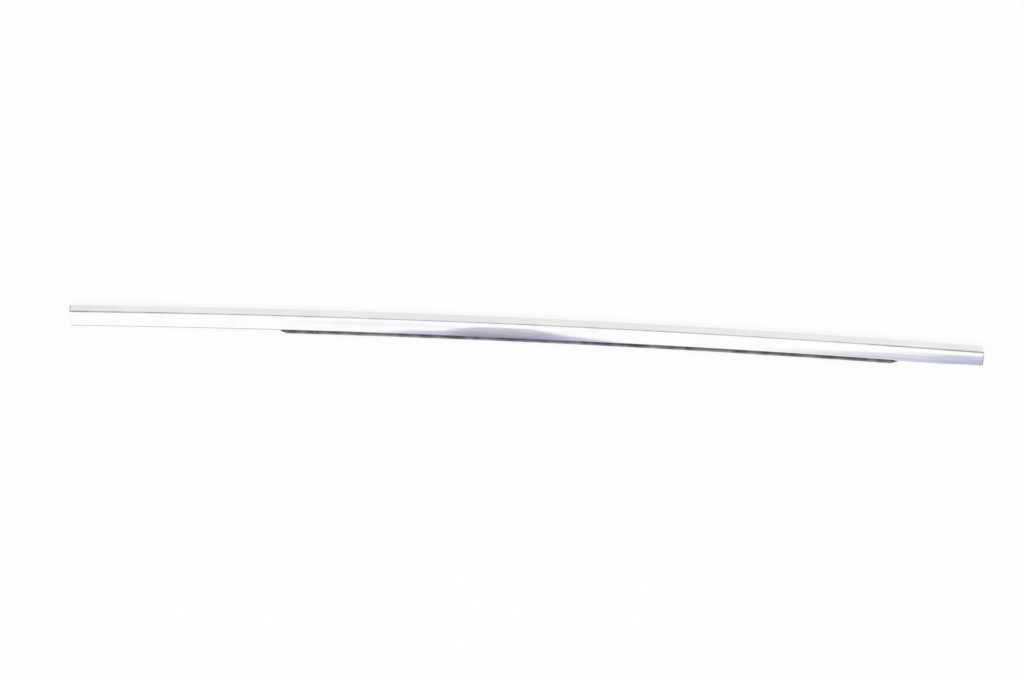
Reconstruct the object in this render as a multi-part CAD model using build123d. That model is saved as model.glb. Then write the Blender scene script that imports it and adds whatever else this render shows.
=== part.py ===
from build123d import *
import math
import os

# A bright trim moulding for the lower edge of a car's side window. A thin polished sheet
# is rolled to a bevelled and crowned face with hemmed edges and folded ends, and it clasps
# a black rubber seal. The seal's back has a finned channel that presses onto the upright
# flange of the door panel, and a wiper lip stands out past the strip's lower edge.
# The part lies on the seal's flat back with its face up. X runs along it, and it bows
# towards +Y. Every section is drawn across the middle, with Y from the strip's lower edge
# and Z up from the seal's back, and is turned about one far upright axis below it.

# Whole strip, its length measured along the lower edge
strip_length = 1000.0
bow_radius = 15650.0

# Section of the bright strip
sheet = 0.5
face_width = 23.3
bevel_width = 7.3
bevel_rise = 2.6
step_run = 0.5
step_rise = 0.9
band_fall = 2.8
band_crown = 1.3
hem_depth = 2.6
hem_return = 2.6
end_return = 1.4

# Bend radii on the outside of the sheet
edge_bend = 1.3
crease_bend = 0.4
shoulder_bend = 1.3
lower_bend = 2.4
end_bend = 1.2

# Straight stretch at each end, and the relief notch in its lower hem
end_length = 12.0
notch_length = 6.5
notch_width = 0.9

# Section of the rubber seal
back_leg = 1.4
channel_width = 6.0
channel_depth = 15.0
mouth_inset = 0.6
foot_inset = 2.0
corner_round = 0.6
fit_gap = 0.1

# Gripping fins on both walls of the channel
fin_reach = 0.8
fin_root = 1.0
fin_tip = 0.4
fin_lean = 0.7
fin_pitch = 3.6
fin_count = 3
fin_inset = 2.2

# Wiper lip, set in from the strip's left and right ends along its length. It leaves the
# seal just below the channel's front wall and turns up beside the strip's lower edge
lip_left_inset = 222.7
lip_right_inset = 83.0
lip_left_cut = 15.0
lip_right_cut = 18.5
lip_reach = 2.9
lip_root = 1.9
lip_tip = 0.8
lip_drop = 0.3
lip_knee = 0.1
lip_rise = 4.1
lip_bend = 0.7

# Heights and widths that follow from the sizes above
channel_front = back_leg + channel_width
hem_plane = channel_front + fit_gap
top_depth = hem_plane + hem_depth
crease_width = face_width - bevel_width
crease_depth = top_depth + bevel_rise
band_top = crease_width - step_run
band_depth = crease_depth + step_rise
low_depth = band_depth - band_fall
front_depth = band_depth + band_crown
mouth = face_width - mouth_inset
channel_floor = mouth - channel_depth
end_gap = max(end_return, end_bend) + fit_gap
lip_base = foot_inset + corner_round
bow_axis = Axis((0, -bow_radius, 0), (0, 0, 1))


def along(part, distance):
    """The part, drawn across the middle, moved along the bow to a distance from the left end."""
    offset_from_middle = distance - strip_length / 2
    return part.rotate(bow_axis, -math.degrees(offset_from_middle / bow_radius))


def run(section, first, last):
    """A solid with the given section that follows the bow between two distances."""
    arc = math.degrees((last - first) / bow_radius)
    return revolve(along(section, last), axis=bow_axis, revolution_arc=arc)


def block(y_low, y_high, z_low, z_high):
    """A plain rectangular face across the strip."""
    width = y_high - y_low
    height = z_high - z_low
    middle = Location(((y_low + y_high) / 2, (z_low + z_high) / 2, 0))
    return (Plane.YZ * middle * Rectangle(width, height)).face()


def polygon(*corners):
    """A straight-sided face across the strip, looking to +X, from its width and height pairs."""
    face = make_face(Plane.YZ * Polyline(*corners, close=True)).face()
    return face if face.normal_at().X > 0 else -face


def nearest(face, across, depth):
    """The corner of a section that lies closest to a point on it."""
    return face.vertices().sort_by_distance(Vector(0, across, depth))[0]


def face_outline():
    """The strip's outer outline, closed along the rear of its hems."""
    chord = math.hypot(band_top, band_fall)
    crown_across = band_top / 2 - band_crown * band_fall / chord
    crown_depth = (band_depth + low_depth) / 2 + band_crown * band_top / chord
    with BuildSketch(Plane.YZ) as section:
        with BuildLine():
            Polyline(
                (0, low_depth),
                (0, hem_plane),
                (face_width, hem_plane),
                (face_width, top_depth),
                (crease_width, crease_depth),
                (band_top, band_depth),
            )
            ThreePointArc((band_top, band_depth), (crown_across, crown_depth), (0, low_depth))
        make_face()
    outline = section.sketch.face()
    for across, depth, radius in (
        (0, hem_plane, edge_bend),
        (face_width, hem_plane, edge_bend),
        (face_width, top_depth, edge_bend),
        (crease_width, crease_depth, crease_bend),
        (band_top, band_depth, shoulder_bend),
        (0, low_depth, lower_bend),
    ):
        outline = outline.fillet_2d(radius, [nearest(outline, across, depth)])
    return outline


def rounded_stub(section, length, radius):
    """A short straight bar towards -X with the rim of its far end rounded."""
    bar = extrude(section, amount=-length)
    return fillet(bar.faces().sort_by(Axis.X)[0].edges(), radius)


def folded_end(outline, inside, window):
    """The strip's left end, straight for a few millimetres and folded shut."""
    notch = block(-notch_width, notch_width, hem_plane - sheet, front_depth)
    shell = rounded_stub(outline, end_length, end_bend)
    shell -= rounded_stub(inside, end_length - sheet, end_bend - sheet)
    shell -= extrude(window, amount=-(end_length - end_return))
    shell -= extrude(notch, amount=-notch_length).moved(Location((notch_length - end_length, 0, 0)))
    return shell


def bright_strip(outline):
    """The folded sheet: a long tray with hems along it, closed and relieved at its ends."""
    inside = offset(outline, amount=-sheet).face()
    window = block(hem_return, face_width - hem_return, hem_plane - sheet, hem_plane + 2 * sheet)
    section = (outline - inside - window).face()
    end = folded_end(outline, inside, window)
    strip = run(section, end_length, strip_length - end_length)
    strip += along(end, end_length)
    strip += along(mirror(end, about=Plane.YZ), strip_length - end_length)
    return strip


def fin(across, wall, inward):
    """A slanted gripping fin on a channel wall that points in towards the channel's floor."""
    return polygon(
        (across + fin_root / 2, wall),
        (across - fin_lean + fin_tip / 2, wall + inward * fin_reach),
        (across - fin_lean - fin_tip / 2, wall + inward * fin_reach),
        (across - fin_root / 2, wall),
    )


def seal_section(outline):
    """The rubber that fills the strip, with the channel and its fins behind it."""
    filling = offset(outline, amount=-(sheet + fit_gap)).face()
    neck_low = hem_return + fit_gap
    neck_high = face_width - hem_return - fit_gap
    neck = block(neck_low, neck_high, channel_front, top_depth)
    foot = block(foot_inset, channel_floor, 0, channel_front)
    leg = block(foot_inset, mouth, 0, back_leg)
    section = filling + neck + foot + leg
    for number in range(fin_count):
        across = mouth - fin_inset - number * fin_pitch
        section += fin(across, back_leg, 1)
        section += fin(across, channel_front, -1)
    section = section.face()
    for across, depth in ((foot_inset, 0), (mouth, 0), (mouth, back_leg)):
        section = section.fillet_2d(corner_round, [nearest(section, across, depth)])
    return section


def lip_section():
    """The wiper lip, which turns up and thins from the seal's foot to its tip."""
    root_top = channel_front - lip_drop
    root_bottom = root_top - lip_root
    tip_top = root_top + lip_rise
    inner_knee = (-lip_knee, root_top)
    outer_knee = (-lip_knee - lip_root / 2, root_bottom + lip_root / 4)
    inner_tip = (-lip_reach + lip_tip, tip_top)
    outer_tip = (-lip_reach, tip_top - lip_tip / 2)
    lip = polygon(
        (lip_base, root_bottom),
        (lip_base, root_top),
        inner_knee,
        inner_tip,
        outer_tip,
        outer_knee,
    )
    for corner, radius in (
        (inner_knee, lip_bend),
        (outer_knee, lip_bend + lip_root / 2),
    ):
        lip = lip.fillet_2d(radius, [nearest(lip, *corner)])
    return lip


def lip_trim(cut_length):
    """A prism that slices a lip's end off on the slant, drawn for the left end."""
    slope = (lip_base + lip_reach) / cut_length
    side = 2 * cut_length
    start = -cut_length / 2
    wedge = Polyline(
        (-side, lip_base - slope * start),
        (start, lip_base - slope * start),
        (side, lip_base - slope * side),
        (-side, lip_base - slope * side),
        close=True,
    )
    return extrude(make_face(wedge), amount=front_depth)


def rubber_seal(outline):
    """The whole seal in one piece, with its lip trimmed on the slant at both ends."""
    seal = run(seal_section(outline), end_gap, strip_length - end_gap)
    lip_stop = strip_length - lip_right_inset
    lip = run(lip_section(), lip_left_inset, lip_stop)
    lip -= along(lip_trim(lip_left_cut), lip_left_inset)
    lip -= along(mirror(lip_trim(lip_right_cut), about=Plane.YZ), lip_stop)
    return seal + lip


def recentred(pieces):
    """All pieces moved so that the origin is the bottom centre of the whole part."""
    boxes = [piece.bounding_box() for piece in pieces.values()]
    middle_x = (min(box.min.X for box in boxes) + max(box.max.X for box in boxes)) / 2
    middle_y = (min(box.min.Y for box in boxes) + max(box.max.Y for box in boxes)) / 2
    bottom = min(box.min.Z for box in boxes)
    shift = Location((-middle_x, -middle_y, -bottom))
    return {name: piece.moved(shift) for name, piece in pieces.items()}


def main():
    """Build both pieces and write one file for each."""
    outline = face_outline()
    pieces = {
        "bright_strip": bright_strip(outline),
        "rubber_seal": rubber_seal(outline),
    }
    os.makedirs("parts", exist_ok=True)
    for name, piece in recentred(pieces).items():
        export_step(piece, f"parts/{name}.step")


main()
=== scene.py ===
"""Looks of a bright window trim strip and its black rubber seal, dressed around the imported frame.

The strip lies on its back with its face up. X runs along it, Y across it towards the mouth of
the flange channel, and Z up out of the face. Lengths are in metres. Both pieces are drawn
straight first, with X from the middle of their length and Y from the strip's lower edge, and
one Geometry Nodes tree then bows them as the real strip is bowed.
"""

import logging
import math
from dataclasses import dataclass
from enum import Enum

import bmesh
import bpy
from mathutils import Matrix, Vector


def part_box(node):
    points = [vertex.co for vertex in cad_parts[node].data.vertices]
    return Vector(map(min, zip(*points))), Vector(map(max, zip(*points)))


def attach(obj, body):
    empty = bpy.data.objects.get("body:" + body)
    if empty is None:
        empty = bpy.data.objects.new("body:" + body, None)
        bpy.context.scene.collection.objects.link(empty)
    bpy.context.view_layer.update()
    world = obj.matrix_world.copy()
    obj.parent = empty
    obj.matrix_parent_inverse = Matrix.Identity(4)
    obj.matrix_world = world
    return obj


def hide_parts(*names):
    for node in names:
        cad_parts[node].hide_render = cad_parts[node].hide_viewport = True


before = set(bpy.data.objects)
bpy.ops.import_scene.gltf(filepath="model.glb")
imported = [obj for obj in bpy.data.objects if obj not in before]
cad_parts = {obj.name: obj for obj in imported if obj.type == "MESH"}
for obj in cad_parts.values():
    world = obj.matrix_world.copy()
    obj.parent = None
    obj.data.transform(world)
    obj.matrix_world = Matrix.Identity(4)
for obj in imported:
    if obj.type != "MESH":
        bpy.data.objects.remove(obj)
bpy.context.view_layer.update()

MM = 0.001
WELD = 0.002 * MM
LOG = logging.getLogger("window_trim")

Socket = bpy.types.NodeSocket
Place = tuple[float, float, float]
Range = tuple[float, float]
Tone = tuple[float, float, float, float]
WHITE: Tone = (1.0, 1.0, 1.0, 1.0)


class End(Enum):
    """The two ends of the strip, with the way each one points along X."""

    LEFT = -1
    RIGHT = 1


@dataclass(frozen=True)
class OutlinePoint:
    """A point of a section, with the way out of the solid there."""

    across: float
    height: float
    out_across: float
    out_height: float

    def inset(self, depth: float) -> Vector:
        """The point moved into the solid, as width and height."""
        return Vector((self.across - self.out_across * depth, self.height - self.out_height * depth))


def arc(
    centre: Vector, first: Vector, last: Vector, steps: int, hollow: bool = False
) -> list[OutlinePoint]:
    """Samples the shorter arc about a centre from one point to another.

    Args:
        centre: the arc's centre, as width and height.
        first: where the arc starts.
        last: where the arc ends.
        steps: how many straight steps stand for the arc.
        hollow: whether the solid lies outside the arc, as in a crease.

    Returns:
        The points of the arc, ends included, each with its way out of the solid.
    """
    start = first - centre
    turn = start.angle_signed(last - centre)
    sign = -1 if hollow else 1
    points = []
    for step in range(steps + 1):
        spoke = start.copy()
        spoke.rotate(Matrix.Rotation(-turn * step / steps, 2))
        way = spoke.normalized() * sign
        place = centre + spoke
        points.append(OutlinePoint(place.x, place.y, way.x, way.y))
    return points


def bend_between(
    before: Vector, corner: Vector, after: Vector, radius: float, steps: int
) -> list[OutlinePoint]:
    """Rounds the corner between two straight stretches of a clockwise outline.

    Args:
        before: a point on the stretch that comes in.
        corner: where the two stretches meet.
        after: a point on the stretch that goes out.
        radius: the radius of the bend.
        steps: how many straight steps stand for it.

    Returns:
        The points of the bend.
    """
    come = (corner - before).normalized()
    leave = (after - corner).normalized()
    turn = come.angle_signed(leave)
    tangent = radius * math.tan(abs(turn) / 2)
    first = corner - come * tangent
    last = corner + leave * tangent
    right = Vector((come.y, -come.x))
    hollow = turn < 0
    centre = first - right * radius if hollow else first + right * radius
    return arc(centre, first, last, steps, hollow)


def cut_short(side: list[Vector], limit: float) -> list[Vector]:
    """Draws the part of a line that runs past a width back to that width.

    Args:
        side: the points of the line, from high widths to low ones.
        limit: the lowest width that is kept.

    Returns:
        As many points as before, those past the limit moved to where the line meets it.
    """
    crossing = side[-1]
    for near, far in zip(side, side[1:]):
        if far.x < limit <= near.x:
            crossing = near.lerp(far, (near.x - limit) / (near.x - far.x))
            break
    return [point if point.x >= limit else crossing for point in side]


@dataclass(frozen=True)
class StripSection:
    """The sizes of the bright strip's section and of its folded ends."""

    length: float = 1000.0 * MM
    bow_radius: float = 15650.0 * MM
    sheet: float = 0.5 * MM
    face_width: float = 23.3 * MM
    bevel_width: float = 7.3 * MM
    bevel_rise: float = 2.6 * MM
    step_run: float = 0.5 * MM
    step_rise: float = 0.9 * MM
    band_fall: float = 2.8 * MM
    band_crown: float = 1.3 * MM
    hem_plane: float = 7.5 * MM
    hem_depth: float = 2.6 * MM
    hem_return: float = 2.6 * MM
    end_return: float = 1.4 * MM
    edge_bend: float = 1.3 * MM
    crease_bend: float = 0.4 * MM
    shoulder_bend: float = 1.3 * MM
    lower_bend: float = 2.4 * MM
    end_bend: float = 1.2 * MM
    end_length: float = 12.0 * MM
    notch_length: float = 6.5 * MM
    notch_width: float = 1.2 * MM
    ease_start: float = 452.0 * MM
    ease_end: float = 488.0 * MM
    ease_rise: float = 1.1 * MM
    bend_steps: int = 8
    crown_steps: int = 30

    @property
    def crease(self) -> Vector:
        """The sharp line of the crease, before it is rounded."""
        height = self.hem_plane + self.hem_depth + self.bevel_rise
        return Vector((self.face_width - self.bevel_width, height))

    @property
    def shoulder(self) -> Vector:
        """The sharp top of the step, before it is rounded."""
        return self.crease + Vector((-self.step_run, self.step_rise))

    def frame_shift(self) -> float:
        """How far the strip's middle is moved across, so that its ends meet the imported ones."""
        lowest = self.length / 2 - self.notch_length
        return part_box("bright_strip")[0].y + self.bow_radius * (1 - math.cos(lowest / self.bow_radius))

    def bow_values(self, finish: bpy.types.Material) -> dict[str, object]:
        """The values that the bowing tree takes for either piece.

        Args:
            finish: the piece's material.

        Returns:
            A value for each of the tree's named inputs.
        """
        return {
            "Bow Radius": self.bow_radius,
            "Shift": self.frame_shift(),
            "Ease Start": self.ease_start,
            "Ease End": self.ease_end,
            "Ease Rise": self.ease_rise,
            "Ease Width": self.crease.x,
            "Finish": finish,
        }

    def outline(self) -> list[OutlinePoint]:
        """The outside of the sheet, from one hem's rear edge round the face to the other's.

        Returns:
            The points of the open outline, each with its way out of the metal.
        """
        lower_rear = Vector((0, self.hem_plane))
        upper_rear = Vector((self.face_width, self.hem_plane))
        lower_front = Vector((0, self.shoulder.y - self.band_fall))
        upper_front = Vector((self.face_width, self.hem_plane + self.hem_depth))
        lower_hem = Vector((self.hem_return, self.hem_plane))
        upper_hem = Vector((self.face_width - self.hem_return, self.hem_plane))
        points = [OutlinePoint(lower_hem.x, lower_hem.y, 0, -1)]
        points += bend_between(lower_hem, lower_rear, lower_front, self.edge_bend, self.bend_steps)
        points += self.crown(lower_front)
        points += bend_between(self.shoulder, self.crease, upper_front, self.crease_bend, self.bend_steps)
        points += bend_between(self.crease, upper_front, upper_rear, self.edge_bend, self.bend_steps)
        points += bend_between(upper_front, upper_rear, upper_hem, self.edge_bend, self.bend_steps)
        points.append(OutlinePoint(upper_hem.x, upper_hem.y, 0, -1))
        return points

    def crown(self, lower_front: Vector) -> list[OutlinePoint]:
        """The crowned band with the lower bend and the shoulder at its two sides.

        Args:
            lower_front: the sharp corner between the band and the strip's lower side.

        Returns:
            The points of the lower bend, the band and the shoulder.
        """
        chord = self.shoulder - lower_front
        radius = (chord.length_squared / 4 + self.band_crown**2) / (2 * self.band_crown)
        inward = Vector((chord.y, -chord.x)).normalized()
        centre = (self.shoulder + lower_front) / 2 + inward * (radius - self.band_crown)

        reach = radius - self.lower_bend
        rise = math.sqrt(reach**2 - (self.lower_bend - centre.x) ** 2)
        low_centre = Vector((self.lower_bend, centre.y + rise))
        low_line = Vector((0, low_centre.y))
        low_crown = centre + (low_centre - centre).normalized() * radius

        down = (self.crease - self.shoulder).normalized()
        into = Vector((down.y, -down.x)) * self.shoulder_bend
        offset = self.shoulder + into - centre
        reach = radius - self.shoulder_bend
        slide = -offset.dot(down) - math.sqrt(offset.dot(down) ** 2 - offset.length_squared + reach**2)
        top_centre = centre + offset + down * slide
        top_crown = centre + (top_centre - centre).normalized() * radius
        top_line = top_centre - into

        points = arc(low_centre, low_line, low_crown, self.bend_steps)
        points += arc(centre, low_crown, top_crown, self.crown_steps)[1:-1]
        points += arc(top_centre, top_crown, top_line, self.bend_steps)
        return points


class Tree:
    """A node tree that is built one named node at a time."""

    def __init__(self, tree: bpy.types.NodeTree) -> None:
        """Wraps an empty tree."""
        self.tree = tree

    def add(
        self, kind: str, inputs: dict[str | int, object] | None = None, **settings: object
    ) -> bpy.types.Node:
        """Adds a node.

        Args:
            kind: Blender's name for the node.
            inputs: a value, a node or a node's output for each input, by name or number.
            settings: the node's own settings.

        Returns:
            The new node.
        """
        node = self.tree.nodes.new(kind)
        for name, value in settings.items():
            setattr(node, name, value)
        for key, value in (inputs or {}).items():
            source = value.outputs[0] if isinstance(value, bpy.types.Node) else value
            if isinstance(source, Socket):
                self.tree.links.new(source, node.inputs[key])
            else:
                node.inputs[key].default_value = source
        return node

    def math(self, operation: str, *values: object) -> Socket:
        """The output of a Math node on the given values."""
        return self.add("ShaderNodeMath", dict(enumerate(values)), operation=operation).outputs[0]

    def plus(self, first: object, second: object) -> Socket:
        """The sum of two values."""
        return self.math("ADD", first, second)

    def minus(self, first: object, second: object) -> Socket:
        """The first value less the second."""
        return self.math("SUBTRACT", first, second)

    def times(self, first: object, second: object) -> Socket:
        """The product of two values."""
        return self.math("MULTIPLY", first, second)

    def size(self, value: Socket) -> Socket:
        """A value without its sign."""
        return self.math("ABSOLUTE", value)

    def ramp(self, value: Socket, low: object, high: object) -> Socket:
        """A smooth step from 0 at the low value to 1 at the high one."""
        inputs = {"Value": value, "From Min": low, "From Max": high}
        return self.add("ShaderNodeMapRange", inputs, interpolation_type="SMOOTHSTEP").outputs[0]

    def blend(self, factor: object, first: object, second: object) -> Socket:
        """A colour between two colours."""
        node = self.add("ShaderNodeMix", {"Factor": factor, "A": first, "B": second}, data_type="RGBA")
        return node.outputs["Result"]

    def noise(self, place: Socket, scale: float, detail: float) -> Socket:
        """The grey of a noise texture."""
        inputs = {"Vector": place, "Scale": scale, "Detail": detail}
        return self.add("ShaderNodeTexNoise", inputs).outputs["Fac"]

    def scaled(self, place: Socket, scale: Place) -> Socket:
        """A place with each of its axes scaled."""
        return self.add("ShaderNodeMapping", {"Vector": place, "Scale": scale}).outputs[0]

    def axes(self, place: object) -> tuple[Socket, ...]:
        """The X, Y and Z of a place."""
        return tuple(self.add("ShaderNodeSeparateXYZ", {0: place}).outputs)

    def straight(self) -> Socket:
        """Where a point of a piece was before the piece was bowed."""
        return self.add("ShaderNodeAttribute", attribute_name="straight").outputs["Vector"]

    def seen(self) -> Socket:
        """Tells what the eye sees, straight or in the metal, from what only lights other things.

        Returns:
            1 for the rays of the eye and the metal, and 0 for all others.
        """
        rays = self.add("ShaderNodeLightPath").outputs
        bright = self.math("MAXIMUM", rays["Is Camera Ray"], rays["Is Glossy Ray"])
        return self.math("MAXIMUM", bright, rays["Is Transmission Ray"])

    def show(self, shader: bpy.types.Node, kind: str = "Material") -> None:
        """Ends the tree at its output."""
        self.add(f"ShaderNodeOutput{kind}", {"Surface": shader})


class GeometryTree(Tree):
    """A Geometry Nodes tree with named inputs."""

    def __init__(self, name: str) -> None:
        """Makes an empty tree that takes geometry in and gives geometry out.

        Args:
            name: the tree's name.
        """
        super().__init__(bpy.data.node_groups.new(name, "GeometryNodeTree"))
        face = self.tree.interface
        face.new_socket("Geometry", in_out="INPUT", socket_type="NodeSocketGeometry")
        face.new_socket("Geometry", in_out="OUTPUT", socket_type="NodeSocketGeometry")
        self.entry = self.tree.nodes.new("NodeGroupInput")

    def take(self, name: str, kind: str = "Float") -> Socket:
        """Adds a named input and returns where its value comes out."""
        self.tree.interface.new_socket(name, in_out="INPUT", socket_type=f"NodeSocket{kind}")
        return self.entry.outputs[name]

    def close(self, geometry: bpy.types.Node) -> None:
        """Ends the tree: instances made real, and the finish set that it takes as its last input.

        Args:
            geometry: the node that makes the tree's geometry.
        """
        real = self.add("GeometryNodeRealizeInstances", {"Geometry": geometry})
        finish = {"Geometry": real, "Material": self.take("Finish", "Material")}
        dressed = self.add("GeometryNodeSetMaterial", finish)
        leave = self.tree.nodes.new("NodeGroupOutput")
        self.tree.links.new(dressed.outputs[0], leave.inputs[0])

    def run(self, piece: bpy.types.Object, values: dict[str, object]) -> None:
        """Runs the tree on a piece and keeps the result as the piece's plain mesh.

        Args:
            piece: the object whose mesh goes in.
            values: a value for each of the tree's named inputs.
        """
        modifier = piece.modifiers.new(self.tree.name, "NODES")
        modifier.node_group = self.tree
        for item in self.tree.interface.items_tree:
            if item.in_out == "INPUT" and item.name in values:
                modifier[item.identifier] = values[item.name]
        keep_evaluated(piece)


def new_finish(name: str) -> tuple[bpy.types.Material, Tree]:
    """Starts a material with an empty node tree.

    Args:
        name: the material's name.

    Returns:
        The material and its tree.
    """
    material = bpy.data.materials.new(name)
    material.use_nodes = True
    material.node_tree.nodes.clear()
    return material, Tree(material.node_tree)


def keep_evaluated(piece: bpy.types.Object) -> None:
    """Replaces a piece's mesh by the one its modifiers give, and removes the modifiers.

    Args:
        piece: the object whose modifiers are applied.
    """
    graph = bpy.context.evaluated_depsgraph_get()
    mesh = bpy.data.meshes.new_from_object(piece.evaluated_get(graph))
    mesh.name = piece.name
    piece.modifiers.clear()
    piece.data = mesh


def new_piece(name: str, mesh: bpy.types.Mesh) -> bpy.types.Object:
    """Puts a mesh into the scene as an object at the origin.

    Args:
        name: the object's name.
        mesh: its mesh.

    Returns:
        The new object.
    """
    piece = bpy.data.objects.new(name, mesh)
    bpy.context.scene.collection.objects.link(piece)
    return piece


def kept_mesh(work: bmesh.types.BMesh, name: str) -> bpy.types.Mesh:
    """Turns a working mesh into a kept one.

    Args:
        work: the working mesh, which is freed.
        name: the kept mesh's name.

    Returns:
        The kept mesh.
    """
    mesh = bpy.data.meshes.new(name)
    work.to_mesh(mesh)
    work.free()
    return mesh


def weld(work: bmesh.types.BMesh) -> None:
    """Merges the corners that meet and turns all faces outwards."""
    bmesh.ops.remove_doubles(work, verts=work.verts, dist=WELD)
    bmesh.ops.recalc_face_normals(work, faces=work.faces)


def flat_piece(name: str, width: float, depth: float, finish: bpy.types.Material) -> bpy.types.Object:
    """Lays a flat rectangle about the origin.

    Args:
        name: the object's name.
        width: its size along X.
        depth: its size along Y.
        finish: its material.

    Returns:
        The new object, with its one face up.
    """
    wide = width / 2
    deep = depth / 2
    mesh = bpy.data.meshes.new(name)
    corners = [(-wide, -deep, 0), (wide, -deep, 0), (wide, deep, 0), (-wide, deep, 0)]
    mesh.from_pydata(corners, [], [(0, 1, 2, 3)])
    mesh.materials.append(finish)
    return new_piece(name, mesh)


def section_wire(name: str, points: list[Vector], closed: bool) -> bpy.types.Object:
    """Draws a section as a wire, with width as X and height as Y.

    Args:
        name: the wire's name.
        points: the section's corners.
        closed: whether the last corner joins the first.

    Returns:
        The wire.
    """
    count = len(points)
    last = count if closed else count - 1
    edges = [(index, (index + 1) % count) for index in range(last)]
    mesh = bpy.data.meshes.new(name)
    mesh.from_pydata([(point.x, point.y, 0) for point in points], edges, [])
    return new_piece(name, mesh)


def run_tree() -> GeometryTree:
    """The tree that runs a section straight along the strip.

    Returns:
        The tree, ready to run.
    """
    tree = GeometryTree("run_section_along_strip")
    first = tree.add("ShaderNodeCombineXYZ", {"X": tree.take("First")})
    last = tree.add("ShaderNodeCombineXYZ", {"X": tree.take("Last")})
    line = tree.add("GeometryNodeCurvePrimitiveLine", {"Start": first, "End": last})
    count = tree.take("Rings", "Int")
    rings = tree.add("GeometryNodeResampleCurve", {"Curve": line, "Count": count})
    upright = tree.add("GeometryNodeSetCurveNormal", {"Curve": rings}, mode="Z_UP")
    wire = tree.add("GeometryNodeMeshToCurve", {"Mesh": tree.entry})
    turned = tree.add("GeometryNodeTransform", {"Geometry": wire, "Rotation": (0, 0, math.pi)})
    caps = tree.take("Closed Ends", "Bool")
    inputs = {"Curve": upright, "Profile Curve": turned, "Fill Caps": caps}
    swept = tree.add("GeometryNodeCurveToMesh", inputs)
    tree.close(swept)
    return tree


def bow_tree() -> GeometryTree:
    """The tree that narrows a straight piece at its right end and bows it into the frame.

    Returns:
        The tree, ready to run.
    """
    tree = GeometryTree("bow_along_door_edge")
    radius = tree.take("Bow Radius")
    place = tree.add("GeometryNodeInputPosition")
    keep = {"Geometry": tree.entry, "Name": "straight", "Value": place}
    kept = tree.add("GeometryNodeStoreNamedAttribute", keep, data_type="FLOAT_VECTOR", domain="POINT")
    along, across, up = tree.axes(place)
    eased = tree.ramp(along, tree.take("Ease Start"), tree.take("Ease End"))
    below = tree.minus(1.0, tree.math("DIVIDE", across, tree.take("Ease Width")))
    below = tree.math("MAXIMUM", below, 0.0)
    rise = tree.times(tree.times(eased, below), tree.take("Ease Rise"))
    angle = tree.math("DIVIDE", along, radius)
    reach = tree.plus(radius, tree.plus(across, rise))
    turned = tree.times(reach, tree.math("SINE", angle))
    raised = tree.minus(tree.times(reach, tree.math("COSINE", angle)), radius)
    inputs = {"X": turned, "Y": tree.plus(raised, tree.take("Shift")), "Z": up}
    bowed = tree.add("ShaderNodeCombineXYZ", inputs)
    moved = tree.add("GeometryNodeSetPosition", {"Geometry": kept, "Position": bowed})
    tree.close(moved)
    return tree


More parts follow.
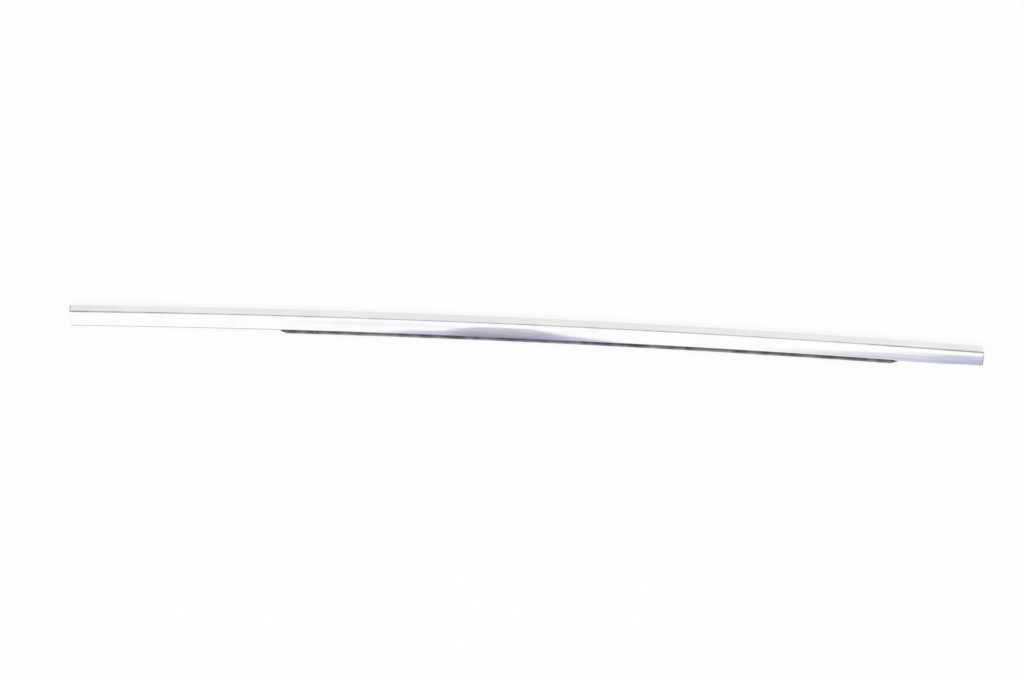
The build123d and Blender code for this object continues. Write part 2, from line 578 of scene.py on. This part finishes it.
@dataclass(frozen=True)
class PolishedMetal:
    """Bright stainless sheet, with faint polishing lines, painted shade in the crease and painted dark
    reflections on the folded ends.
    """

    name: str = "polished_stainless"
    colour: Tone = (0.985, 0.985, 0.99, 1.0)
    roughness: float = 0.035
    streak_roughness: float = 0.04
    streak_scale: Place = (6, 9000, 9000)
    wave_height: float = 0.06 * MM
    wave_scale: Place = (35, 60, 60)
    half_length: float = 500.0 * MM
    aside_start: float = 300.0 * MM
    crease_across: float = 16.0 * MM
    # The dark colour serves three things: the painted shade in the crease, the painted dark reflection on
    # the folded ends, and a faint random speck tint.
    painted_shade_and_speck_colour: Tone = (0.42, 0.41, 0.42, 1.0)
    crease_shade_width: float = 0.85 * MM
    crease_shade_core: float = 0.17 * MM
    crease_shade_spread: float = 0.5
    crease_shade: float = 0.55
    crease_shade_aside: float = 0.3
    painted_shade_roughness: float = 0.3
    speck_scale: float = 45.0
    speck_range: Range = (0.42, 0.7)
    speck_shade: float = 0.4
    speck_tint: float = 0.05
    # Painted dark reflection on the folded ends: its strength, and how far it reaches in from each end.
    fold_reflection: float = 0.7
    fold_reflection_width: float = 1.8 * MM
    fold_reflection_core: float = 0.6 * MM

    def build(self) -> bpy.types.Material:
        """Makes the material.

        Returns:
            The finish, ready to be given to a mesh.
        """
        material, tree = new_finish(self.name)
        straight = tree.straight()
        along, across, _ = tree.axes(straight)
        aside = tree.ramp(tree.size(along), self.aside_start, self.half_length)
        away = tree.size(tree.minus(across, self.crease_across))
        reach = tree.times(tree.plus(1.0, tree.times(aside, self.crease_shade_spread)), self.crease_shade_width)
        # Painted shade along the crease: a dark line that widens towards the ends.
        crease = tree.minus(1.0, tree.ramp(away, self.crease_shade_core, reach))

        speck = tree.ramp(tree.noise(straight, self.speck_scale, detail=4.0), *self.speck_range)
        heavy = tree.plus(self.crease_shade, tree.times(aside, self.crease_shade_aside))
        # Strength of the painted crease shade, heavier towards the ends and patchy with the specks.
        painted_shade = tree.times(crease, tree.plus(heavy, tree.times(speck, self.speck_shade)))
        # The painted dark reflection on the folded ends is added to the painted crease shade.
        painted_shade = tree.math("MAXIMUM", painted_shade, self.painted_fold_reflection(tree, along, across))
        # Faint random specks tint the whole face a little towards the same dark colour.
        tint = tree.blend(tree.times(speck, self.speck_tint), self.colour, self.painted_shade_and_speck_colour)
        # The painted shade darkens the base colour towards the dark colour.
        colour = tree.blend(painted_shade, tint, self.painted_shade_and_speck_colour)

        streaks = tree.noise(tree.scaled(straight, self.streak_scale), 1.0, detail=3.0)
        fine = tree.plus(tree.times(streaks, self.streak_roughness), self.roughness)
        # The painted shade also raises the roughness.
        rough = tree.plus(fine, tree.times(painted_shade, self.painted_shade_roughness))
        swell = tree.noise(tree.scaled(straight, self.wave_scale), 1.0, detail=1.0)
        bent = tree.add("ShaderNodeBump", {"Height": swell, "Distance": self.wave_height})
        shader = {"Base Color": colour, "Metallic": 1.0, "Roughness": rough, "Normal": bent}
        tree.show(tree.add("ShaderNodeBsdfPrincipled", shader))
        return material

    def painted_fold_reflection(self, tree: Tree, along: Socket, across: Socket) -> Socket:
        """Painted dark reflection on the folds: on the bevel at the left end, and on the wide band at the
        right.

        Args:
            tree: the material's node tree.
            along: the place along the strip.
            across: the place across it.

        Returns:
            How strong the painted dark reflection is.
        """
        start = self.half_length - self.fold_reflection_width
        # The painted dark reflection is strongest at the very ends of the strip.
        near = tree.ramp(tree.size(along), start, self.half_length - self.fold_reflection_core)
        right = tree.math("GREATER_THAN", along, 0.0)
        bevel = tree.math("GREATER_THAN", across, self.crease_across)
        other = tree.size(tree.minus(right, bevel))
        return tree.times(tree.times(near, other), self.fold_reflection)


@dataclass(frozen=True)
class BlackRubber:
    """Extruded black rubber with fine grain, lengthwise drawing lines and a little dust."""

    name: str = "black_rubber"
    colour: Tone = (0.13, 0.13, 0.15, 1.0)
    roughness: float = 0.5
    dust_colour: Tone = (0.36, 0.36, 0.38, 1.0)
    dust_roughness: float = 0.2
    dust_scale: float = 60.0
    dust_range: Range = (0.28, 0.64)
    grain_height: float = 0.03 * MM
    grain_scale: float = 4000.0
    line_height: float = 0.04 * MM
    line_scale: Place = (12, 2500, 2500)

    def build(self) -> bpy.types.Material:
        """Makes the material.

        Returns:
            The finish, ready to be given to a mesh.
        """
        material, tree = new_finish(self.name)
        straight = tree.straight()
        dust = tree.ramp(tree.noise(straight, self.dust_scale, detail=5.0), *self.dust_range)
        colour = tree.blend(dust, self.colour, self.dust_colour)
        rough = tree.plus(self.roughness, tree.times(dust, self.dust_roughness))
        drawn = tree.noise(tree.scaled(straight, self.line_scale), 1.0, detail=2.0)
        grain = tree.noise(straight, self.grain_scale, detail=2.0)
        lines = tree.add("ShaderNodeBump", {"Height": drawn, "Distance": self.line_height})
        bump = {"Height": grain, "Distance": self.grain_height, "Normal": lines}
        skin = tree.add("ShaderNodeBump", bump)
        shader = {"Base Color": colour, "Roughness": rough, "Normal": skin}
        tree.show(tree.add("ShaderNodeBsdfPrincipled", shader))
        return material


@dataclass
class BrightStrip:
    """The polished sheet: a long tray with hems behind both edges and both ends folded shut."""

    section: StripSection
    node: str = "bright_strip"
    ring_pitch: float = 5.0 * MM
    smooth_angle: float = math.radians(32)

    def ring(
        self, mesh: bmesh.types.BMesh, outline: list[OutlinePoint], along: float, depth: float
    ) -> list[bmesh.types.BMVert]:
        """Adds one loop of corners across the strip, drawn in by a depth from the outline."""
        places = [point.inset(depth) for point in outline]
        return [mesh.verts.new((along, place.x, place.y)) for place in places]

    def folded_end(self) -> bpy.types.Mesh:
        """The strip's left end, from its folded wall to where the plain run starts.

        Returns:
            The end's skin, still without thickness.
        """
        size = self.section
        outline = size.outline()
        mesh = bmesh.new()
        places = []
        for step in range(size.bend_steps + 1):
            turn = math.pi / 2 * (1 - step / size.bend_steps)
            inwards = size.end_bend * (1 - math.sin(turn))
            places.append((inwards, size.end_bend * (1 - math.cos(turn))))
        places += [(size.end_return, 0), (size.notch_length, 0), (size.end_length, 0)]
        rings = [self.ring(mesh, outline, along - size.length / 2, depth) for along, depth in places]
        closed = size.bend_steps + 1
        notched = size.bend_steps + 2
        for number, (near, far) in enumerate(zip(rings, rings[1:])):
            for index in range(len(outline) - 1):
                middle = (outline[index].across + outline[index + 1].across) / 2
                if number < notched and middle < size.notch_width:
                    continue
                mesh.faces.new((near[index], near[index + 1], far[index + 1], far[index]))
            if number < closed:
                mesh.faces.new((near[-1], near[0], far[0], far[-1]))
        mesh.faces.new(rings[0][::-1])
        loose = [corner for corner in mesh.verts if not corner.link_faces]
        bmesh.ops.delete(mesh, geom=loose, context="VERTS")
        return kept_mesh(mesh, "folded_end")

    def build(self, run: GeometryTree, bow: GeometryTree, metal: bpy.types.Material) -> None:
        """Makes the whole strip, in the frame.

        Args:
            run: the tree that runs a section along the strip.
            bow: the tree that bows a straight piece.
            metal: the strip's finish.
        """
        size = self.section
        wire = section_wire("strip_run", [point.inset(0) for point in size.outline()], closed=False)
        half = size.length / 2 - size.end_length
        rings = round(2 * half / self.ring_pitch) + 1
        run.run(wire, {"First": -half, "Last": half, "Rings": rings, "Finish": metal})

        mesh = bmesh.new()
        mesh.from_mesh(wire.data)
        bpy.data.objects.remove(wire)
        end = self.folded_end()
        for side in End:
            before = set(mesh.verts)
            mesh.from_mesh(end)
            if side is End.RIGHT:
                for corner in set(mesh.verts) - before:
                    corner.co.x = -corner.co.x
        weld(mesh)

        piece = new_piece("bright_strip_skin", kept_mesh(mesh, "bright_strip_skin"))
        wall = piece.modifiers.new("wall", "SOLIDIFY")
        wall.thickness = size.sheet
        wall.offset = -1
        wall.use_even_offset = True
        keep_evaluated(piece)
        bow.run(piece, size.bow_values(metal))
        piece.data.shade_smooth()
        piece.data.set_sharp_from_angle(angle=self.smooth_angle)
        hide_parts(self.node)
        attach(piece, "root")
        LOG.info("bright strip: %d faces", len(piece.data.polygons))


@dataclass
class RubberSeal:
    """The black extrusion behind the strip, with its flange channel, fins and wiper lip."""

    strip: StripSection
    node: str = "rubber_seal"
    back_leg: float = 1.4 * MM
    channel_width: float = 6.0 * MM
    channel_depth: float = 15.0 * MM
    mouth_inset: float = 0.6 * MM
    foot_inset: float = 2.0 * MM
    corner_round: float = 0.6 * MM
    fit_gap: float = 0.1 * MM
    fin_reach: float = 0.8 * MM
    fin_root: float = 1.0 * MM
    fin_tip: float = 0.4 * MM
    fin_lean: float = 0.7 * MM
    fin_pitch: float = 3.6 * MM
    fin_count: int = 3
    fin_inset: float = 2.2 * MM
    lip_left_inset: float = 222.7 * MM
    lip_right_inset: float = 83.0 * MM
    lip_left_cut: float = 15.0 * MM
    lip_right_cut: float = 18.5 * MM
    lip_reach: float = 3.2 * MM
    lip_root: float = 1.9 * MM
    lip_tip: float = 0.8 * MM
    tip_bend: float = 0.32 * MM
    lip_drop: float = 0.3 * MM
    lip_knee: float = 0.1 * MM
    lip_rise: float = 4.6 * MM
    lip_bend: float = 0.7 * MM
    ring_pitch: float = 5.0 * MM
    round_steps: int = 5
    cut_steps: int = 14
    ripple: float = 0.22 * MM
    ripple_lift: float = 0.5
    ripple_length: float = 45.0 * MM
    smooth_angle: float = math.radians(38)

    @property
    def front_wall(self) -> float:
        """The height of the channel's front wall."""
        return self.back_leg + self.channel_width

    @property
    def mouth(self) -> float:
        """The channel's open edge across the strip."""
        return self.strip.face_width - self.mouth_inset

    @property
    def lip_base(self) -> float:
        """Where the lip starts inside the seal's foot."""
        return self.foot_inset + self.corner_round

    @property
    def lip_first(self) -> float:
        """Where the lip starts along the strip."""
        return self.lip_left_inset - self.strip.length / 2

    @property
    def lip_last(self) -> float:
        """Where the lip ends along the strip."""
        return self.strip.length / 2 - self.lip_right_inset

    def fins(self, wall: float, inward: int) -> list[Vector]:
        """The corners of all gripping fins on one wall, from the mouth inwards.

        Args:
            wall: the wall's height.
            inward: 1 where its fins point up, and -1 where they point down.

        Returns:
            The four corners of each fin, one after another.
        """
        top = wall + inward * self.fin_reach
        corners = []
        for number in range(self.fin_count):
            across = self.mouth - self.fin_inset - number * self.fin_pitch
            tip = across - self.fin_lean
            corners += [
                Vector((across + self.fin_root / 2, wall)),
                Vector((tip + self.fin_tip / 2, top)),
                Vector((tip - self.fin_tip / 2, top)),
                Vector((across - self.fin_root / 2, wall)),
            ]
        return corners

    def outline(self) -> list[Vector]:
        """The closed outline of the seal's section without its lip.

        Returns:
            The outline's corners.
        """
        depth = self.strip.sheet + self.fit_gap
        filling = [point.inset(depth) for point in self.strip.outline()[1:-1]]
        neck_low = self.strip.hem_return + self.fit_gap
        neck_high = self.strip.face_width - self.strip.hem_return - self.fit_gap
        rear = self.strip.hem_plane + depth
        floor = self.mouth - self.channel_depth
        points = [Vector((neck_low, rear))] + filling
        points += [Vector((neck_high, rear)), Vector((neck_high, self.front_wall))]
        points += self.fins(self.front_wall, -1)
        points += [Vector((floor, self.front_wall)), Vector((floor, self.back_leg))]
        points += self.fins(self.back_leg, 1)[::-1]
        corners = [
            Vector((0, self.back_leg)),
            Vector((self.mouth, self.back_leg)),
            Vector((self.mouth, 0)),
            Vector((self.foot_inset, 0)),
            Vector((self.foot_inset, self.front_wall)),
        ]
        for before, corner, after in zip(corners, corners[1:], corners[2:]):
            points += self.bent(before, corner, after, self.corner_round)
        points += [corners[-1], Vector((neck_low, self.front_wall))]
        return points

    def lip_outline(self) -> tuple[list[Vector], list[Vector]]:
        """The lip's inner side and its outer side, each from the root out to the tip.

        Returns:
            The corners of the inner side, and those of the outer side.
        """
        root = self.lip_base
        top = self.front_wall - self.lip_drop
        low = top - self.lip_root
        tip_top = top + self.lip_rise
        inner_root = Vector((root, top))
        inner_knee = Vector((-self.lip_knee, top))
        inner_tip = Vector((-self.lip_reach + self.lip_tip, tip_top))
        outer_tip = Vector((-self.lip_reach, tip_top - self.lip_tip / 2))
        outer_knee = Vector((-self.lip_knee - self.lip_root / 2, low + self.lip_root / 4))
        outer_root = Vector((root, low))
        outer_bend = self.lip_bend + self.lip_root / 2
        inner = [inner_root]
        inner += self.bent(inner_root, inner_knee, inner_tip, self.lip_bend)
        inner += self.bent(inner_knee, inner_tip, outer_tip, self.tip_bend)
        outer = [outer_root]
        outer += self.bent(outer_root, outer_knee, outer_tip, outer_bend)
        outer += self.bent(outer_knee, outer_tip, inner_tip, self.tip_bend)
        return inner, outer

    def bent(self, before: Vector, corner: Vector, after: Vector, radius: float) -> list[Vector]:
        """A rounded corner of the section, inner or outer."""
        bend = bend_between(before, corner, after, radius, self.round_steps)
        return [point.inset(0) for point in bend]

    def lip_mesh(self) -> bpy.types.Mesh:
        """The straight wiper lip, trimmed on the slant at both ends.

        Returns:
            The lip's closed mesh, with how far out each corner stands as the attribute "reach".
        """
        sides = self.lip_outline()
        mesh = bmesh.new()
        mesh.verts.layers.float.new("reach")
        rings = [self.lip_ring(mesh, sides, place) for place in self.lip_places()]
        for near, far in zip(rings, rings[1:]):
            for index in range(len(near)):
                follow = (index + 1) % len(near)
                mesh.faces.new((near[index], near[follow], far[follow], far[index]))
        mesh.faces.new(rings[0])
        mesh.faces.new(rings[-1][::-1])
        return kept_mesh(mesh, "wiper_lip")

    def lip_places(self) -> list[float]:
        """Where the lip's rings stand, closer together along its slanted ends.

        Returns:
            The rings' places along the strip.
        """
        left_full = self.lip_first + self.lip_left_cut
        right_full = self.lip_last - self.lip_right_cut
        count = round((right_full - left_full) / self.ring_pitch)
        steps = self.cut_steps
        places = [self.lip_first + self.lip_left_cut * step / steps for step in range(steps)]
        places += [left_full + (right_full - left_full) * step / count for step in range(count)]
        places += [right_full + self.lip_right_cut * step / steps for step in range(steps + 1)]
        return places

    def lip_ring(
        self, mesh: bmesh.types.BMesh, sides: tuple[list[Vector], list[Vector]], along: float
    ) -> list[bmesh.types.BMVert]:
        """Adds one loop of the lip, cut short where its end is trimmed.

        Args:
            mesh: the mesh that takes the corners.
            sides: the inner and the outer side of the lip's section.
            along: the loop's place along the strip.

        Returns:
            The new corners, from the inner side's root round the tip to the outer side's root.
        """
        from_left = (along - self.lip_first) / self.lip_left_cut
        from_right = (self.lip_last - along) / self.lip_right_cut
        share = min(from_left, from_right, 1.0)
        limit = self.lip_base - (self.lip_base + self.lip_reach) * share
        layer = mesh.verts.layers.float["reach"]
        loop = cut_short(sides[0], limit) + cut_short(sides[1], limit)[::-1]
        corners = []
        for place in loop:
            corner = mesh.verts.new((along, place.x, place.y))
            corner[layer] = max(-place.x / self.lip_reach, 0.0) * share
            corners.append(corner)
        return corners

    def build(self, run: GeometryTree, bow: GeometryTree, rubber: bpy.types.Material) -> None:
        """Makes the whole seal, in the frame.

        Args:
            run: the tree that runs a section along the strip.
            bow: the tree that bows a straight piece.
            rubber: the seal's finish.
        """
        size = self.strip
        piece = section_wire("rubber_seal_body", self.outline(), closed=True)
        half = size.length / 2 - max(size.end_return, size.end_bend) - self.fit_gap
        rings = round(2 * half / self.ring_pitch) + 1
        values = {"First": -half, "Last": half, "Rings": rings, "Closed Ends": True, "Finish": rubber}
        run.run(piece, values)
        lip = new_piece("wiper_lip", self.lip_mesh())
        values = {
            "Ripple": self.ripple,
            "Ripple Length": self.ripple_length,
            "Ripple Lift": self.ripple_lift,
            "Finish": rubber,
        }
        ripple_tree().run(lip, values)
        mesh = bmesh.new()
        mesh.from_mesh(piece.data)
        mesh.from_mesh(lip.data)
        weld(mesh)
        mesh.to_mesh(piece.data)
        mesh.free()
        bpy.data.objects.remove(lip)
        bow.run(piece, size.bow_values(rubber))
        piece.data.shade_smooth()
        piece.data.set_sharp_from_angle(angle=self.smooth_angle)
        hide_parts(self.node)
        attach(piece, "root")
        LOG.info("rubber seal: %d faces", len(piece.data.polygons))


def ripple_tree() -> GeometryTree:
    """The tree that makes a soft lip's free edge uneven along its length.

    Returns:
        The tree, ready to run.
    """
    tree = GeometryTree("ripple_free_edge")
    height = tree.take("Ripple")
    straight, _, _ = tree.axes(tree.add("GeometryNodeInputPosition"))
    along = tree.math("DIVIDE", straight, tree.take("Ripple Length"))
    noise = tree.add("ShaderNodeTexNoise", {"W": along, "Scale": 1.0, "Detail": 3.0}, noise_dimensions="1D")
    reach = tree.add("GeometryNodeInputNamedAttribute", {"Name": "reach"}, data_type="FLOAT")
    swing = tree.times(tree.minus(noise.outputs["Fac"], 0.5), 2.0)
    amount = tree.times(tree.times(swing, height), reach.outputs["Attribute"])
    lift = tree.times(amount, tree.take("Ripple Lift"))
    offset = tree.add("ShaderNodeCombineXYZ", {"Y": amount, "Z": lift})
    moved = tree.add("GeometryNodeSetPosition", {"Geometry": tree.entry, "Offset": offset})
    tree.close(moved)
    return tree


@dataclass(frozen=True)
class PaleFloor:
    """A white studio floor that stays white to the eye and keeps a soft shadow."""

    name: str = "pale_floor"
    matte_tone: Tone = (0.8, 0.8, 0.8, 1.0)
    soft_tone: Tone = (0.14, 0.14, 0.14, 1.0)
    glow: float = 0.845

    def build(self) -> bpy.types.Material:
        """Makes the material.

        Returns:
            The finish, ready to be given to a mesh.
        """
        material, tree = new_finish(self.name)
        matte = tree.add("ShaderNodeBsdfDiffuse", {"Color": self.matte_tone})
        soft = tree.add("ShaderNodeBsdfDiffuse", {"Color": self.soft_tone})
        glow = tree.add("ShaderNodeEmission", {"Color": WHITE, "Strength": self.glow})
        bright = tree.add("ShaderNodeAddShader", {0: soft, 1: glow})
        tree.show(tree.add("ShaderNodeMixShader", {0: tree.seen(), 1: matte, 2: bright}))
        return material


@dataclass(frozen=True)
class Card:
    """A soft-edged card that shows only as a reflection in the metal, its angles in degrees."""

    name: str
    centre: Place
    width: float
    depth: float
    low_tone: Tone
    high_tone: Tone
    lean: float = 0.0
    turn: float = 0.0
    edge: float = 0.3
    rag: float = 0.2
    taper: float = 0.0
    squareness: float = 2.4
    shade_end: float = 0.9
    grain: Range = (7.0, 7.0)
    mottle: float = 0.0
    mottle_scale: float = 1.7
    fleck_tone: Tone = WHITE
    fleck: float = 0.0
    fleck_scale: float = 0.9
    fleck_range: Range = (0.42, 0.6)

    def finish(self) -> bpy.types.Material:
        """A glow that shades from the card's low side to its high side and fades at its edges.

        Returns:
            The card's material.
        """
        material, tree = new_finish(self.name)
        place = tree.add("ShaderNodeTexCoord").outputs["Object"]
        across, up, _ = tree.axes(tree.scaled(place, (2 / self.width, 2 / self.depth, 1)))
        narrowing = tree.minus(1.0, tree.times(up, self.taper))
        wide = tree.math("POWER", tree.math("DIVIDE", tree.size(across), narrowing), self.squareness)
        deep = tree.math("POWER", tree.size(up), self.squareness)
        grained = tree.scaled(place, (*self.grain, 1))
        ragged = tree.times(tree.minus(tree.noise(grained, 1.0, detail=4.0), 0.5), self.rag * 2)
        away = tree.plus(tree.plus(wide, deep), ragged)
        clear = tree.ramp(away, 1 - 2 * self.edge, 1.0)

        shade = tree.blend(tree.ramp(up, -self.shade_end, self.shade_end), self.low_tone, self.high_tone)
        patches = tree.ramp(tree.noise(grained, self.fleck_scale, detail=5.0), *self.fleck_range)
        shade = tree.blend(tree.times(patches, self.fleck), shade, self.fleck_tone)
        cloud = tree.noise(grained, self.mottle_scale, detail=3.0)
        strength = tree.plus(1.0, tree.times(tree.minus(cloud, 0.5), self.mottle * 2))
        glow = tree.add("ShaderNodeEmission", {"Color": shade, "Strength": strength})
        through = tree.add("ShaderNodeBsdfTransparent")
        tree.show(tree.add("ShaderNodeMixShader", {0: clear, 1: glow, 2: through}))
        return material

    def build(self) -> None:
        """Hangs the card."""
        card = flat_piece(self.name, self.width, self.depth, self.finish())
        card.location = self.centre
        card.rotation_euler = (math.radians(self.lean), 0, math.radians(self.turn))
        card.visible_camera = False
        card.visible_diffuse = False
        card.visible_shadow = False
        card.visible_transmission = False


def hung_cards() -> list[Card]:
    """The cards that hang round the strip for its face and its folded ends to reflect.

    Returns:
        The cards, still to be built.
    """
    return [
        Card(
            name="middle_card", centre=(-0.027, -0.66, 1.0), width=0.2, depth=1.8, lean=40,
            low_tone=(0.26, 0.26, 0.31, 1), high_tone=(0.66, 0.66, 0.69, 1), rag=0.8,
            mottle=0.7, grain=(22.0, 6.0), fleck_tone=(0.42, 0.38, 0.62, 1), fleck=0.55,
        ),
        Card(
            name="violet_card", centre=(-0.035, -1.07, 0.9), width=0.42, depth=1.6, lean=50,
            low_tone=(0.5, 0.5, 0.7, 1), high_tone=(0.6, 0.62, 0.8, 1), edge=0.35, rag=0.6,
            taper=0.2, grain=(12.0, 6.0),
        ),
        Card(
            name="pale_blue_card", centre=(-0.24, -0.15, 1.35), width=0.34, depth=0.6, lean=8,
            low_tone=(0.9, 0.91, 0.98, 1), high_tone=(0.93, 0.93, 0.98, 1), edge=0.5, rag=0.5,
        ),
        Card(
            name="corner_card", centre=(0.82, -0.5, 0.95), width=0.46, depth=1.5, lean=40,
            low_tone=(0.38, 0.42, 0.56, 1), high_tone=(0.62, 0.66, 0.7, 1), edge=0.45, rag=0.9,
            mottle=0.5, grain=(16.0, 6.0), fleck_tone=(0.64, 0.6, 0.8, 1), fleck=0.6,
        ),
        Card(
            name="right_card", centre=(1.0, -0.66, 1.02), width=1.25, depth=1.7, lean=35,
            low_tone=(0.45, 0.48, 0.62, 1), high_tone=(0.72, 0.75, 0.84, 1), edge=0.45, rag=0.5,
            taper=0.35, mottle=0.15, grain=(6.0, 5.0),
        ),
        Card(
            name="horizon_card", centre=(0, -1.7, 0.3), width=5.0, depth=0.62, lean=80,
            low_tone=(0.1, 0.1, 0.16, 1), high_tone=(0.3, 0.3, 0.4, 1), edge=0.2, rag=0.05,
        ),
        Card(
            name="wall_card", centre=(0, 1.6, 0.95), width=5.0, depth=2.6, lean=-60,
            low_tone=(0.84, 0.84, 0.86, 1), high_tone=(0.82, 0.82, 0.84, 1), edge=0.08, rag=0.02,
            mottle=0.12, grain=(2.0, 2.0),
        ),
        Card(
            name="left_end_card", centre=(-1.6, 1.15, 1.3), width=1.6, depth=2.6, lean=90, turn=90,
            low_tone=(0.14, 0.14, 0.15, 1), high_tone=(0.25, 0.25, 0.26, 1), edge=0.1, rag=0.05,
        ),
        Card(
            name="right_end_card", centre=(1.9, -0.95, 1.3), width=2.1, depth=2.6, lean=90, turn=90,
            low_tone=(0.16, 0.16, 0.19, 1), high_tone=(0.22, 0.22, 0.25, 1), edge=0.1, rag=0.05,
        ),
    ]


def low_cards() -> list[Card]:
    """The cards that lie on the floor for the strip's rounded edges and folded ends to reflect.

    Returns:
        The cards, still to be built.
    """
    return [
        Card(name, centre, width, depth, low_tone, high_tone, edge=0.02, rag=0.0)
        for name, centre, width, depth, low_tone, high_tone in (
            ("upper_low_card", (0, 0.52, 0.0005), 1.6, 1.0, (0.7, 0.7, 0.72, 1), (0.72, 0.72, 0.74, 1)),
            ("lower_low_card", (0, -0.52, 0.0005), 1.6, 1.0, (0.36, 0.36, 0.5, 1), (0.4, 0.4, 0.55, 1)),
            ("left_low_card", (-0.76, 0.33, 0.0008), 0.5, 0.6, (0.14, 0.14, 0.15, 1), (0.16, 0.16, 0.17, 1)),
            ("right_low_card", (0.76, -0.3, 0.0008), 0.5, 0.6, (0.16, 0.16, 0.19, 1), (0.18, 0.18, 0.21, 1)),
        )
    ]


@dataclass
class Studio:
    """The plain pale floor, the soft light and what the polished face reflects."""

    floor_side: float = 12.0
    fill: float = 0.55
    lamp_power: float = 26.0
    lamp_size: float = 2.2
    lamp_aside: float = 1.3
    lamp_across: float = -0.4
    lamp_height: float = 2.4

    def world(self) -> None:
        """Surrounds the part with even light that the eye and the metal see as white."""
        world = bpy.data.worlds.new("studio")
        world.use_nodes = True
        world.node_tree.nodes.clear()
        tree = Tree(world.node_tree)
        strength = tree.plus(self.fill, tree.times(tree.seen(), 1 - self.fill))
        tree.show(tree.add("ShaderNodeBackground", {"Color": WHITE, "Strength": strength}), "World")
        bpy.context.scene.world = world

    def lamps(self) -> None:
        """Hangs two wide soft lamps over the part."""
        for side in End:
            lamp = bpy.data.lights.new(f"soft_lamp_{side.name.lower()}", "AREA")
            lamp.shape = "SQUARE"
            lamp.size = self.lamp_size
            lamp.energy = self.lamp_power
            hung = bpy.data.objects.new(lamp.name, lamp)
            bpy.context.scene.collection.objects.link(hung)
            hung.location = (side.value * self.lamp_aside, self.lamp_across, self.lamp_height)
            hung.rotation_euler = (-hung.location).to_track_quat("-Z", "Y").to_euler()
            hung.visible_glossy = False

    def build(self) -> None:
        """Sets up the whole studio."""
        flat_piece("floor", self.floor_side, self.floor_side, PaleFloor().build())
        self.world()
        self.lamps()
        for card in hung_cards() + low_cards():
            card.build()
        bpy.context.scene.view_settings.view_transform = "Standard"
        LOG.info("studio: floor, world, lamps and cards")


@dataclass
class PhotoCamera:
    """The camera over the strip, turned and placed so that the picture matches the photograph."""

    picture_width: int = 1024
    picture_height: int = 680
    left_end: float = 69.5
    right_end: float = 983.8
    origin_across: float = 526.65
    origin_down: float = 332.3
    slope: float = math.radians(2.59)
    distance: float = 2.5
    edge_drop: float = 4.0 * MM
    sensor: float = 36.0

    def build(self) -> None:
        """Places the camera."""
        low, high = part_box("bright_strip")
        pixel = (high.x - low.x) * math.cos(self.slope) / (self.right_end - self.left_end)
        data = bpy.data.cameras.new("photo_camera")
        data.sensor_width = self.sensor
        data.lens = self.sensor * self.distance / (pixel * self.picture_width)
        camera = bpy.data.objects.new("photo_camera", data)
        bpy.context.scene.collection.objects.link(camera)
        right = Vector((math.cos(self.slope), math.sin(self.slope), 0))
        up = Vector((-math.sin(self.slope), math.cos(self.slope), 0))
        aside = (self.picture_width / 2 - self.origin_across) * pixel
        above = (self.origin_down - self.picture_height / 2) * pixel
        over = Vector((0, 0, high.z - self.edge_drop + self.distance))
        camera.location = right * aside + up * above + over
        camera.rotation_euler = (0, 0, self.slope)
        bpy.context.scene.camera = camera
        LOG.info("camera: %.1f mm lens", data.lens)


def main() -> None:
    """Builds the strip, its seal, the studio and the camera."""
    logging.basicConfig(level=logging.INFO, format="%(name)s: %(message)s")
    section = StripSection()
    run = run_tree()
    bow = bow_tree()
    BrightStrip(section).build(run, bow, PolishedMetal().build())
    RubberSeal(section).build(run, bow, BlackRubber().build())
    Studio().build()
    PhotoCamera().build()


if __name__ == "__main__":
    main()
